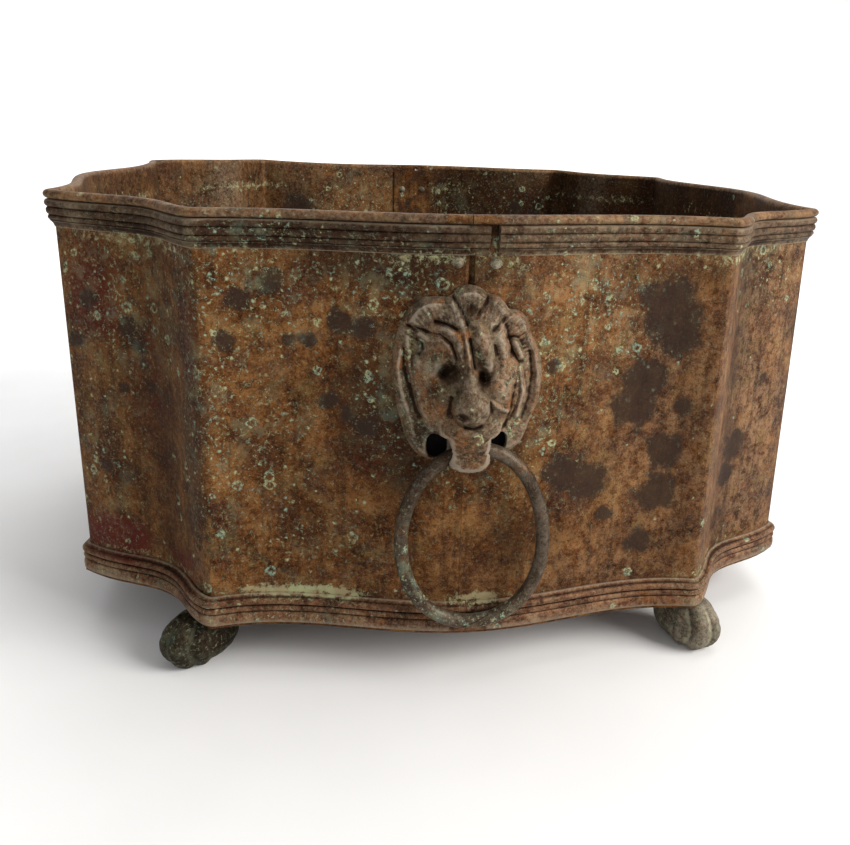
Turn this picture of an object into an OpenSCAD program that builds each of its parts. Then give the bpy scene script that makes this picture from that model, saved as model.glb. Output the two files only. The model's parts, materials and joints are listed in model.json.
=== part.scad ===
// Serpentine sheet-brass planter on four paw feet, with a lion mask and a
// hanging ring on the front and on the back. Millimetres, +Z up, front
// towards -Y. The origin is on the ground under the middle of the planter.

/* [Outline] */
// Half width between the cusps of the front panel
front_cusp_x = 87.5; // [80:1:95]
// Distance from the centre to the cusps of the front panel
front_cusp_y = 131.5; // [125:1:140]
// Distance from the centre to the cusps of an end panel
end_cusp_x = 139.5; // [130:1:145]
// Half width between the cusps of an end panel
end_cusp_y = 87; // [80:1:92]
// How far the middle of the front panel swells past its cusps
front_crown = 9; // [5:0.5:12]
// How far the middle of an end panel swells past its cusps
end_crown = 10; // [5:0.5:13]
// Depth of the hollow that pulls each panel in beside its cusps
panel_hollow = 10; // [4:1:14]
// Depth of the concave corner panels
corner_sag = 7; // [3:0.5:9]

/* [Body] */
// Height of the paw feet
foot_h = 18; // [15:1:22]
// Height from the underside of the body to the top of the rim
body_h = 145; // [125:1:165]
// Thickness of the wall sheet
wall_t = 1; // [0.8:0.1:1.5]
// Thickness of the bottom plate
plate_t = 1; // [0.8:0.1:1.5]
// Height of the rolled bead at the top of the wall
bead_h = 3; // [2.5:0.5:4]
// How far the rolled bead stands out from the wall
bead_out = 3; // [2:0.5:4]

/* [Mouldings] */
// Height of the reeded band under the bead
rim_band_h = 9.6; // [8:0.2:12]
// How far the rim band's reeds stand out from the wall
rim_band_out = 2.6; // [2:0.2:3.4]
// Height of the reeded band at the foot of the wall
base_band_h = 10.6; // [9:0.2:12]
// How far the base band's reeds stand out from the wall
base_band_out = 2.2; // [1.6:0.2:2.6]
// Number of reeds on each band
reeds = 4; // [3:1:5]

/* [Seams] */
// Place of the wall's seam, right of the front's centre
seam_x = -2.5; // [-6:0.5:0]
// Place of the rim band's joint, right of the front's centre
band_joint_x = 4.5; // [2:0.5:10]
// Gap left at the wall's seam and at the rim band's joint
seam_gap = 3; // [1:0.5:4]

/* [Mask and ring] */
// Half width of the lion mask
mask_half_w = 24; // [20:1:26]
// Place of the mask's centre, right of the front's centre
mask_x = -1.5; // [-2:0.5:0]
// Height of the mask's centre above the ground
mask_z = 111; // [109:1:112]
// Height of the ring's hinge axis above the ground
hinge_z = 88.5; // [86:0.5:91]
// Distance from the wall to the ring's hinge axis
hinge_out = 5.6; // [5.4:0.2:7]
// Wire radius of the ring
wire_r = 2.35; // [2:0.05:2.6]
// Half width of the ring, to the middle of the wire
ring_half_w = 24.5; // [23:0.5:26]
// Half height of the ring, to the middle of the wire
ring_half_h = 32; // [31:0.5:33]

/* [Hidden] */

brass_brown = [0.45, 0.29, 0.16];
band_brown = [0.42, 0.33, 0.27];
cast_brown = [0.48, 0.36, 0.27];
ring_grey = [0.42, 0.38, 0.33];
rivet_pale = [0.75, 0.72, 0.60];

top_z = foot_h + body_h;
wall_foot_z = foot_h + plate_t;
rim_band_z = top_z - bead_h - rim_band_h;
front_y = -(front_cusp_y + front_crown);   // the front wall's foremost line
panel_steps = 24;                          // facets across a whole panel
front_facet = 2 * front_cusp_x / panel_steps;
corner_steps = 12;                         // facets across a corner panel
corner_lean = 1.2;                         // moves a corner's hollow towards the front cusp

bead_gap = 0.1;                            // the two halves' beads almost meet
rivet_x = [-6.5, 5.6];
strap_x = (rivet_x[0] + rivet_x[1]) / 2;   // middle of the strap behind the seam
strap_half_w = 11;
strap_t = 0.8;
rivet_z = top_z - 14.6;
rivet_r = 1.1;
rivet_head_r = 1.9;
rivet_clearance = 0.03;

mask_screw_x = 15;                         // half the distance between the mask's screws
mask_screw_z = mask_z + 3;
screw_r = 1.5;
screw_head_r = 2.8;
screw_head_h = 1.6;
screw_hole_r = 1.7;
mask_screw_bite = 4;                       // length of thread inside the mask
jaw_half_w = 6.2;
tunnel_r = 3.9;
tunnel_half_w = 14;

foot_x = 86;                               // place of the feet's screws
foot_y = 114;
foot_turn = 44;                            // direction in which a foot leans out
foot_top_r = 10;
foot_screw_depth = 8;
washer_r = 5;
washer_t = 1;
pin_r = 0.7;

// ---- Plan of the wall -------------------------------------------------

// Swell of a panel at t, from -1 at one cusp to 1 at the other.
function bow(t, crown) =
    (crown + panel_hollow) * (1 + cos(180 * t)) / 2 - panel_hollow * (1 - t * t);

function front_corner(i) = let (x = i * front_facet)
    [x, -front_cusp_y - bow(x / front_cusp_x, front_crown)];

// Point at x on the front, which is a row of flat facets that every strip shares.
function front_point(x) =
    let (i = floor(x / front_facet), share = x / front_facet - i)
    front_corner(i) * (1 - share) + front_corner(i + 1) * share;

function end_point(y) = [end_cusp_x + bow(y / end_cusp_y, end_crown), y];

// Point on the front right corner panel, t from 0 at the end panel's cusp
// to 1 at the front panel's cusp.
function corner_point(t) =
    let (from = [end_cusp_x, -end_cusp_y],
         to = [front_cusp_x, -front_cusp_y],
         inward = [-(from - to)[1], (from - to)[0]] / norm(from - to))
    from + (to - from) * t + inward * corner_sag * pow(sin(180 * pow(t, corner_lean)), 2);

// The front from x = start to its right cusp: the start and each facet's corner.
function front_run(start) = concat(
    [front_point(start)],
    [for (i = [floor(start / front_facet) + 1:panel_steps / 2]) front_corner(i)]
);

// The right half of the wall's outer face, counterclockwise from the front at
// x = start to the back at x = finish.
function right_half(start, finish) = concat(
    front_run(start),
    [for (i = [1:corner_steps - 1]) corner_point(1 - i / corner_steps)],
    [for (i = [0:panel_steps]) end_point(end_cusp_y * (2 * i / panel_steps - 1))],
    [for (i = [1:corner_steps - 1]) let (p = corner_point(i / corner_steps)) [p[0], -p[1]]],
    [for (p = reversed(front_run(finish))) [p[0], -p[1]]]
);

// The whole outer face, counterclockwise from the middle of the front.
function whole_wall() =
    let (half = right_half(0, 0), n = len(half))
    concat([for (i = [0:n - 2]) half[i]], [for (i = [0:n - 2]) -half[i]]);

function heading(p, q) = (q - p) / norm(q - p);
function outward(d) = [d[1], -d[0]];

// Mitred normal between the segments that meet at a point.
function mitre(before, after) =
    let (sum = outward(before) + outward(after), unit = sum / norm(sum))
    unit / (unit * outward(before));

// An open run of points moved outwards by d.
function moved(run, d) = let (last = len(run) - 1)
    [for (i = [0:last]) run[i] + d * mitre(
        heading(run[max(i - 1, 0)], run[max(i, 1)]),
        heading(run[min(i, last - 1)], run[min(i + 1, last)]))];

// A closed outline moved outwards by d.
function moved_loop(loop, d) = let (n = len(loop))
    [for (i = [0:n - 1]) loop[i] + d * mitre(
        heading(loop[(i + n - 1) % n], loop[i]), heading(loop[i], loop[(i + 1) % n]))];

function reversed(list) = [for (i = [len(list) - 1:-1:0]) list[i]];

// A standing strip that follows a run of the wall, between two distances
// from the wall's outer face.
module strip(run, inner, outer, z, h) {
    translate([0, 0, z])
        linear_extrude(h)
            polygon(concat(moved(run, outer), reversed(moved(run, inner))));
}

module turn_to_back() {
    rotate([0, 0, 180]) children();
}

// Places children at x on the front wall: their Z axis points out of the wall.
module on_front_wall(x, z, out = 0) {
    step = 0.5;
    run = [front_point(x - step), front_point(x + step)];
    slope = atan2(run[1][1] - run[0][1], 2 * step);
    translate([x, front_point(x)[1], z])
        rotate([0, 0, slope])
            rotate([90, 0, 0])
                translate([0, 0, out])
                    children();
}

// ---- Sheet body -------------------------------------------------------

module wall_half() {
    run = right_half(seam_x + seam_gap / 2, -seam_x + seam_gap / 2);
    bead_run = right_half(seam_x + bead_gap / 2, -seam_x + bead_gap / 2);
    color(brass_brown)
        difference() {
            union() {
                strip(run, -wall_t, 0, wall_foot_z, top_z - wall_foot_z);
                strip(bead_run, -wall_t / 2, bead_out - 0.5, top_z - bead_h, bead_h);
                strip(bead_run, -wall_t / 2, bead_out, top_z - bead_h + 0.5, bead_h - 1);
            }
            rivet_holes();
            turn_to_back() rivet_holes();
            mask_screw_holes(screw_hole_r);
            turn_to_back() mask_screw_holes(screw_hole_r);
        }
}

module wall_left() {
    turn_to_back() wall_half();
}

module wall_right() {
    wall_half();
}

module rivet_holes() {
    for (x = rivet_x)
        on_front_wall(x, rivet_z, -4)
            cylinder(r = rivet_r + rivet_clearance, h = 8, $fn = 32);
}

module mask_screw_holes(r) {
    for (side = [-1, 1])
        on_front_wall(mask_x + side * mask_screw_x, mask_screw_z, -4)
            cylinder(r = r, h = 4 + mask_screw_bite, $fn = 32);
}

module seam_strap() {
    left = strap_x - strap_half_w;
    right = strap_x + strap_half_w;
    run = concat(
        [front_point(left)],
        [for (i = [floor(left / front_facet) + 1:ceil(right / front_facet) - 1]) front_corner(i)],
        [front_point(right)]
    );
    color(brass_brown)
        difference() {
            strip(run, -wall_t - strap_t, -wall_t, wall_foot_z, body_h - bead_h - plate_t);
            rivet_holes();
        }
}

module seam_strap_front() {
    seam_strap();
}

module seam_strap_back() {
    turn_to_back() seam_strap();
}

module seam_rivets() {
    grip = wall_t + strap_t;
    seat = 0.1;
    color(rivet_pale)
        for (x = rivet_x) {
            on_front_wall(x, rivet_z, -grip - seat - 0.6)
                cylinder(r = rivet_r, h = grip + 2 * seat + 1.2, $fn = 32);
            on_front_wall(x, rivet_z, seat)
                rivet_head();
            on_front_wall(x, rivet_z, -grip - seat)
                mirror([0, 0, 1]) rivet_head();
        }
}

// A low domed head.
module rivet_head() {
    head_h = 1;
    ball_r = (rivet_head_r * rivet_head_r + head_h * head_h) / (2 * head_h);
    intersection() {
        translate([0, 0, head_h - ball_r]) sphere(r = ball_r, $fn = 48);
        cylinder(r = rivet_head_r + 1, h = head_h + 1, $fn = 32);
    }
}

module seam_rivets_front() {
    seam_rivets();
}

module seam_rivets_back() {
    turn_to_back() seam_rivets();
}

module bottom_plate() {
    color(brass_brown)
        translate([0, 0, foot_h])
            difference() {
                linear_extrude(plate_t)
                    polygon(moved_loop(whole_wall(), base_band_out - 0.4));
                at_feet()
                    translate([0, 0, -1])
                        cylinder(r = screw_hole_r, h = plate_t + 2, $fn = 32);
            }
}

// ---- Reeded mouldings -------------------------------------------------

// A strip with a flat back and a row of reeds on its face.
module reeded_strip(run, out, z, h) {
    pitch = h / reeds;
    groove = 0.7;
    union() {
        strip(run, 0, out - groove, z, h);
        for (i = [0:reeds - 1])
            strip(run, out / 2, out, z + pitch * (i + 0.14), pitch * 0.72);
    }
}

module rim_band_half() {
    color(band_brown)
        reeded_strip(right_half(band_joint_x + seam_gap / 2, -band_joint_x + seam_gap / 2),
                     rim_band_out, rim_band_z, rim_band_h);
}

module rim_band_left() {
    turn_to_back() rim_band_half();
}

module rim_band_right() {
    rim_band_half();
}

// The base band has a taller bead above its reeds. Its joints are behind the rings.
module base_band_half() {
    bead = 2.6;
    run = right_half(0.1, 0.1);
    color(band_brown)
        union() {
            reeded_strip(run, base_band_out, wall_foot_z, base_band_h - bead);
            strip(run, 0, base_band_out + 0.4, wall_foot_z + base_band_h - bead, bead);
        }
}

module base_band_left() {
    turn_to_back() base_band_half();
}

module base_band_right() {
    base_band_half();
}

// ---- Lion mask --------------------------------------------------------

// Scalloped oval outline of the mane, around the mask's centre.
function mane_outline() =
    let (lobes = 11, steps = 88, half_h = 30)
    [for (i = [0:steps - 1])
        let (a = 360 * i / steps, scallop = 1 - 0.035 * abs(sin(lobes * a / 2)))
        [mask_half_w * scallop * cos(a), half_h * scallop * sin(a)]];

// Cast mask on the front wall. The bridge of the lower jaw passes in front of
// the ring, and the space that the ring sweeps is left open.
module lion_mask() {
    color(cast_brown)
        difference() {
            translate([mask_x, 0, 0]) mask_casting();
            wall_fill();
            mask_screw_holes(screw_r);
        }
}

// The casting around its own middle line, before its back is fitted to the wall.
module mask_casting() {
    plate = 2.4;
    difference() {
        union() {
            translate([0, front_y, mask_z])
                rotate([90, 0, 0])
                    linear_extrude(plate + 6, center = true)
                        polygon(mane_outline());
            intersection() {
                translate([0, front_y + 12, mask_z + 3])
                    sphere(r = 24, $fn = 64);
                translate([-30, front_y - 20, hinge_z + 6])
                    cube([60, 30, 60]);
            }
            translate([0, front_y - 5, hinge_z + 13])
                sphere(r = 10, $fn = 48);
            translate([0, front_y - 10.5, hinge_z + 15])
                sphere(r = 6, $fn = 48);
            translate([0, front_y - 2, hinge_z + 7])
                rotate([100, 0, 0])
                    cylinder(r = 8, h = 12, $fn = 48);
            translate([-jaw_half_w, front_y - 10.8, hinge_z - 11])
                cube([2 * jaw_half_w, 10.8, 18]);
        }
        mane_front_cut(plate);
        ring_space();
    }
}

// Removes what stands in front of the mane's thin lower plate beside the jaw.
module mane_front_cut(plate) {
    for (side = [-1, 1])
        translate([side * (jaw_half_w + 15) - 15, front_y - 30 - plate, hinge_z - 40])
            cube([30, 30, 40 + 6]);
}

// The tunnel behind the jaw, open towards the wall, and the mouth corners.
module ring_space() {
    axis_y = front_y - hinge_out;
    translate([0, axis_y, hinge_z])
        rotate([0, 90, 0])
            cylinder(r = tunnel_r, h = 2 * tunnel_half_w, center = true, $fn = 48);
    translate([-tunnel_half_w, axis_y, hinge_z - tunnel_r])
        cube([2 * tunnel_half_w, 20, 2 * tunnel_r]);
}

// Everything behind the front wall's outer face.
module wall_fill() {
    translate([0, 0, hinge_z - 50])
        linear_extrude(120)
            polygon(whole_wall());
}

module lion_mask_front() {
    lion_mask();
}

module lion_mask_back() {
    turn_to_back() lion_mask();
}

module mask_screws() {
    color(rivet_pale)
        for (side = [-1, 1])
            on_front_wall(mask_x + side * mask_screw_x, mask_screw_z, -wall_t - screw_head_h - 0.1) {
                cylinder(r = screw_head_r, h = screw_head_h, $fn = 32);
                cylinder(r = screw_r - 0.02, h = screw_head_h + wall_t + mask_screw_bite - 0.5, $fn = 32);
            }
}

module mask_screws_front() {
    mask_screws();
}

module mask_screws_back() {
    turn_to_back() mask_screws();
}

// ---- Ring handle ------------------------------------------------------

// The ring is a long oval: two half circles joined by straight sides.
module ring_handle() {
    side_h = 2 * (ring_half_h - ring_half_w);
    color(ring_grey)
        difference() {
            translate([0, front_y - hinge_out, hinge_z - ring_half_h])
                union()
                    for (end = [0, 180])
                        rotate([0, end, 0]) {
                            translate([0, 0, side_h / 2])
                                rotate([90, 0, 0])
                                    rotate_extrude(angle = 180, $fn = 96)
                                        translate([ring_half_w, 0])
                                            circle(r = wire_r, $fn = 32);
                            translate([ring_half_w, 0, 0])
                                cylinder(r = wire_r, h = side_h, center = true, $fn = 32);
                        }
            ring_pin_core(pin_r, 2 * wire_r + 2);
        }
}

// The pin's shape, through the wire at the ring's lowest point.
module ring_pin_core(r, length) {
    translate([0, front_y - hinge_out, hinge_z - 2 * ring_half_h])
        rotate([90, 0, 0])
            cylinder(r = r, h = length, center = true, $fn = 24);
}

module ring_handle_front() {
    ring_handle();
}

module ring_handle_back() {
    turn_to_back() ring_handle();
}

module ring_pin() {
    color(rivet_pale) ring_pin_core(pin_r - 0.02, 2 * wire_r + 0.2);
}

module ring_pin_front() {
    ring_pin();
}

module ring_pin_back() {
    turn_to_back() ring_pin();
}

// ---- Feet -------------------------------------------------------------

// Places children at the screw of every foot, X axis leaning out.
module at_feet() {
    for (sx = [-1, 1], sy = [-1, 1])
        at_foot(sx, sy) children();
}

module at_foot(sx, sy) {
    translate([sx * foot_x, sy * foot_y, 0])
        rotate([0, 0, atan2(sy * sin(foot_turn), sx * cos(foot_turn))])
            children();
}

// A squat paw: it leans out from under the plate and ends in four toes.
module paw_foot(sx, sy) {
    paw_r = foot_h / 2 - 0.5;
    toe_r = 4.4;
    color(cast_brown)
        at_foot(sx, sy)
            difference() {
                union() {
                    hull() {
                        translate([0, 0, foot_h - 2]) cylinder(r = foot_top_r, h = 2, $fn = 32);
                        translate([10, 0, 0]) cylinder(r = 8, h = 1, $fn = 32);
                        for (side = [-1, 1])
                            translate([11, side * 3, paw_r]) sphere(r = paw_r, $fn = 24);
                    }
                    for (a = [-48, -16, 16, 48])
                        translate([11 + 8 * cos(a), 9 * sin(a), toe_r + 0.2])
                            sphere(r = toe_r, $fn = 24);
                }
                translate([0, 0, foot_h - foot_screw_depth])
                    cylinder(r = screw_r, h = foot_screw_depth + 1, $fn = 32);
            }
}

module paw_foot_front_left() {
    paw_foot(-1, -1);
}

module paw_foot_front_right() {
    paw_foot(1, -1);
}

module paw_foot_back_left() {
    paw_foot(-1, 1);
}

module paw_foot_back_right() {
    paw_foot(1, 1);
}

module foot_screws() {
    under_head = foot_h + plate_t + washer_t;
    shank_foot = foot_h - foot_screw_depth + 0.5;
    color(rivet_pale)
        at_feet() {
            translate([0, 0, under_head])
                cylinder(r = screw_head_r, h = screw_head_h, $fn = 32);
            translate([0, 0, shank_foot])
                cylinder(r = screw_r - 0.02, h = under_head + screw_head_h / 2 - shank_foot, $fn = 32);
        }
}

module foot_washers() {
    color(rivet_pale)
        at_feet()
            translate([0, 0, foot_h + plate_t])
                difference() {
                    cylinder(r = washer_r, h = washer_t, $fn = 32);
                    translate([0, 0, -1]) cylinder(r = screw_hole_r, h = washer_t + 2, $fn = 32);
                }
}

wall_left();
wall_right();
seam_strap_front();
seam_strap_back();
seam_rivets_front();
seam_rivets_back();
rim_band_left();
rim_band_right();
base_band_left();
base_band_right();
bottom_plate();
lion_mask_front();
lion_mask_back();
mask_screws_front();
mask_screws_back();
ring_handle_front();
ring_handle_back();
ring_pin_front();
ring_pin_back();
paw_foot_front_left();
paw_foot_front_right();
paw_foot_back_left();
paw_foot_back_right();
foot_screws();
foot_washers();
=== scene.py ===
"""A serpentine sheet-brass planter with reeded mouldings, lion masks, ring handles and paw feet.

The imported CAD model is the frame. Shapes are worked out in millimetres, in the frame's own axes
(+Z up, front towards -Y), and become metres when a mesh is made.
"""
import json
import math

import bmesh
import bpy
import numpy as np
from mathutils import Matrix, Vector


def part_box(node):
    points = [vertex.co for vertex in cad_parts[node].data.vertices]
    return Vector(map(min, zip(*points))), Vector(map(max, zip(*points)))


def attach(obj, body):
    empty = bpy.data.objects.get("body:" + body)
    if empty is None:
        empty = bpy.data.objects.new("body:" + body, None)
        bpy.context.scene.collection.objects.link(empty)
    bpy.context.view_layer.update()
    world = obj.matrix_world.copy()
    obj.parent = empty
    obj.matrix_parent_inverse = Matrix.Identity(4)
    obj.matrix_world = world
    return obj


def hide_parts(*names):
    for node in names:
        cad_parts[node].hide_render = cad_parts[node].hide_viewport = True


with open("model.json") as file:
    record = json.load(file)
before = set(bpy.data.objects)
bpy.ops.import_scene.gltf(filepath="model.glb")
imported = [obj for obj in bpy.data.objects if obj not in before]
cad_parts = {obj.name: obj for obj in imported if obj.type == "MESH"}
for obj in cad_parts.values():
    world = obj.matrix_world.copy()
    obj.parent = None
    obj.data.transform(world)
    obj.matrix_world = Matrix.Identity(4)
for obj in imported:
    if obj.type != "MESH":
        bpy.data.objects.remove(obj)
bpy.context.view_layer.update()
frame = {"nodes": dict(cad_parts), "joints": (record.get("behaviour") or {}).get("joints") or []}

MM = 0.001


def box_mm(node):
    low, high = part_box(node)
    return np.array(low) / MM, np.array(high) / MM


# ---- Dimensions, in millimetres --------------------------------------------------------------

FRONT_CUSP = (87.5, 131.5)
END_CUSP = (139.5, 87.0)
FRONT_CROWN = 9.0
END_CROWN = 10.0
PANEL_HOLLOW = 10.0
CORNER_SAG = 7.0
CORNER_LEAN = 1.2
WALL_T = 1.0
SEAM_X = -2.5
SEAM_GAP = 3.0
BEAD_GAP = 0.1
BAND_JOINT_X = 4.5
BEAD_H = 3.0
SEAM_OPENS = (86, 104)  # heights between which the butt gap opens, behind the mask
ENDS_DRAWN_IN = 1.6
BACK_LEFT_LIFT = 1.8
BACK_OF_BAND = 0.02

BODY_FOOT = box_mm("bottom_plate")[0][2]
WALL_FOOT = box_mm("wall_right")[0][2]
TOP = box_mm("wall_right")[1][2]
RIM_BAND_FOOT, RIM_BAND_TOP = box_mm("rim_band_right")[0][2], box_mm("rim_band_right")[1][2]
BASE_BAND_TOP = box_mm("base_band_right")[1][2]
FRONT_Y = -(FRONT_CUSP[1] + FRONT_CROWN)

HINGE = np.array([j for j in frame["joints"] if j["name"] == "ring_front_swing"][0]["pos_m"]) / MM
HINGE_OUT = FRONT_Y - HINGE[1]
RING_FOOT = box_mm("ring_handle_front")[0][2]

MASK_X = -1.5
MASK_Z = 111.5


# ---- Plan of the wall ------------------------------------------------------------------------

def bow(t, crown):
    return (crown + PANEL_HOLLOW) * (1 + np.cos(np.pi * t)) / 2 - PANEL_HOLLOW * (1 - t * t)


def front_points(x):
    return np.stack([x, -FRONT_CUSP[1] - bow(x / FRONT_CUSP[0], FRONT_CROWN)], -1)


def end_points(y):
    return np.stack([END_CUSP[0] + bow(y / END_CUSP[1], END_CROWN), y], -1)


def corner_points(t):
    """The front right corner panel, from the end panel's cusp at t = 0 to the front's at t = 1."""
    start = np.array([END_CUSP[0], -END_CUSP[1]])
    end = np.array([FRONT_CUSP[0], -FRONT_CUSP[1]])
    chord = start - end
    inward = np.array([-chord[1], chord[0]]) / np.linalg.norm(chord)
    sag = CORNER_SAG * np.sin(np.pi * t ** CORNER_LEAN) ** 2
    return start + (end - start) * t[:, None] + inward * sag[:, None]


def resample(points, step):
    """Points a step apart along an open line."""
    lengths = np.concatenate([[0], np.cumsum(np.linalg.norm(np.diff(points, axis=0), axis=1))])
    places = np.linspace(0, lengths[-1], int(lengths[-1] / step) + 2)
    return np.stack([np.interp(places, lengths, points[:, k]) for k in range(points.shape[1])], -1)


def soften(line, rounds):
    """Rounds the bends of an open line a little, with its ends left in place."""
    for _ in range(rounds):
        line[1:-1] = (line[:-2] + 2 * line[1:-1] + line[2:]) / 4
    return line


def right_run(start, finish, flat_step=2.0, bend_step=0.4, bend_reach=4.0):
    """Columns along the right half of the wall, from the front at x = start round to the back at
    x = finish: places and outward normals. They are close together at the cusps, which are bends of
    about a millimetre's radius."""
    t = np.linspace(0, 1, 120)
    corner = corner_points(t[::-1])
    line = np.concatenate([
        front_points(np.linspace(start, FRONT_CUSP[0], 200)),
        corner[1:-1],
        end_points(np.linspace(-END_CUSP[1], END_CUSP[1], 240)),
        (corner[::-1] * [1, -1])[1:-1],
        front_points(np.linspace(FRONT_CUSP[0], finish, 200)) * [1, -1],
    ])
    line = soften(resample(line, bend_step), 12)
    tangent = np.gradient(line, axis=0)
    tangent /= np.linalg.norm(tangent, axis=1)[:, None]
    normal = np.stack([tangent[:, 1], -tangent[:, 0]], -1)
    cusps = [(x, side * y) for x, y in (FRONT_CUSP, END_CUSP) for side in (1, -1)]
    near = np.min([np.linalg.norm(line - c, axis=1) for c in cusps], axis=0) < bend_reach
    every = int(flat_step / bend_step)
    keep = near | (np.arange(len(line)) % every == 0)
    keep[[0, -1]] = True
    return line[keep], normal[keep], tangent[keep]


# ---- Hand-made irregularity ------------------------------------------------------------------

def smooth_step(low, high, value):
    t = np.clip((value - low) / (high - low), 0, 1)
    return t * t * (3 - 2 * t)


def bump_at(p, centre, reach):
    """1 at a centre and fading to 0 over a reach, which has a value for each axis."""
    d = np.linalg.norm((p - np.array(centre)) / np.array(reach), axis=1)
    return np.exp(-d * d)


DENTS = [  # centre, reach and depth of the wall's dents and swellings
    ((-55, -140, 95), (22, 30, 26), -0.7), ((-28, -142, 62), (16, 30, 18), 0.5),
    ((48, -140, 110), (20, 30, 22), -0.6), ((66, -136, 60), (18, 30, 24), 0.6),
    ((-112, -112, 80), (20, 20, 30), -0.6), ((116, -108, 95), (20, 20, 26), 0.5),
    ((150, 10, 90), (20, 34, 30), -0.7), ((-150, -12, 100), (20, 34, 28), 0.6),
    ((-148, 40, 60), (20, 24, 20), -0.6), ((40, 140, 90), (30, 30, 30), 0.7),
    ((-52, 140, 70), (24, 30, 26), -0.7), ((112, 112, 70), (20, 20, 26), -0.5),
]


def warp(p):
    """Moves points by the dents and the slight twist of a pot that was bent and beaten by hand."""
    out = p.copy()
    direction = np.stack([(p[:, 0] / 150) ** 3, (p[:, 1] / 140) ** 3], -1)
    direction /= np.maximum(np.linalg.norm(direction, axis=1), 1e-6)[:, None]
    depth = np.zeros(len(p))
    for centre, reach, amount in DENTS:
        depth += amount * bump_at(p, centre, reach)
    out[:, :2] += direction * depth[:, None]
    height = np.clip((p[:, 2] - BODY_FOOT) / (TOP - BODY_FOOT), 0, 1)
    side = smooth_step(85, 140, np.abs(p[:, 0]))
    out[:, 0] -= ENDS_DRAWN_IN * side * height
    wave = 0.25 * np.sin(p[:, 0] / 31 + 0.6) + 0.2 * np.sin(p[:, 1] / 27 + p[:, 0] / 55)
    lift = BACK_LEFT_LIFT * smooth_step(40, 120, p[:, 1]) * smooth_step(20, 120, -p[:, 0])
    out[:, 2] += height ** 2 * (wave + lift)
    return out


# ---- Mesh helpers ----------------------------------------------------------------------------

def turned(p):
    return p * np.array([-1.0, -1.0, 1.0])


def placed(name, data):
    """A new object in the scene."""
    thing = bpy.data.objects.new(name, data)
    bpy.context.scene.collection.objects.link(thing)
    return thing


def make_piece(name, points, faces, material, body="pot", replaced=(), sharp=35):
    mesh = bpy.data.meshes.new(name)
    mesh.from_pydata((points * MM).tolist(), [], faces)
    mesh.validate()
    outward_normals(mesh)
    for polygon in mesh.polygons:
        polygon.use_smooth = True
    mesh.set_sharp_from_angle(angle=math.radians(sharp))
    mesh.materials.append(material)
    piece = placed(name, mesh)
    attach(piece, body)
    if replaced:
        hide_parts(*replaced)
    return piece


def tube_faces(columns, around, closed=False):
    """Quads of a grid of columns that wraps round each column, with end caps unless it closes."""
    faces = []
    last = columns if closed else columns - 1
    for i in range(last):
        a, b = i * around, (i + 1) % columns * around
        for j in range(around):
            k = (j + 1) % around
            faces.append((a + j, a + k, b + k, b + j))
    if not closed:
        faces.append(tuple(range(around - 1, -1, -1)))
        faces.append(tuple((columns - 1) * around + j for j in range(around)))
    return faces


def strip_along(run, section, end_shift=None):
    """Points of a section (distance out, height) swept along a run. end_shift gives, for each point
    of the section, how far the run's two ends reach past its own ends."""
    places, normals, tangents = run
    section = np.array(section, float)
    flat = places[:, None] + normals[:, None] * section[None, :, :1]
    if end_shift is not None:
        flat[0] -= tangents[0] * end_shift[:, None]
        flat[-1] += tangents[-1] * end_shift[:, None]
    heights = np.broadcast_to(section[None, :, 1:], (len(places), len(section), 1))
    return np.concatenate([flat, heights], -1).reshape(-1, 3), len(section)


def arc(centre, radius, start, end, steps):
    """Points on an arc in a section, with angles in degrees and a radius or a pair of radii."""
    rx, ry = radius if isinstance(radius, tuple) else (radius, radius)
    angles = np.radians(np.linspace(start, end, steps))
    return [(centre[0] + rx * math.cos(a), centre[1] + ry * math.sin(a)) for a in angles]


def reed(z_low, z_high, foot, crest, steps=9):
    """A round reed's face, from its top down to its foot."""
    middle = (z_low + z_high) / 2
    return arc((foot, middle), (crest - foot, (z_high - z_low) / 2), 86, -86, steps)


# ---- Where the patina, the painted light and the painted shade lie ---------------------------

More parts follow.
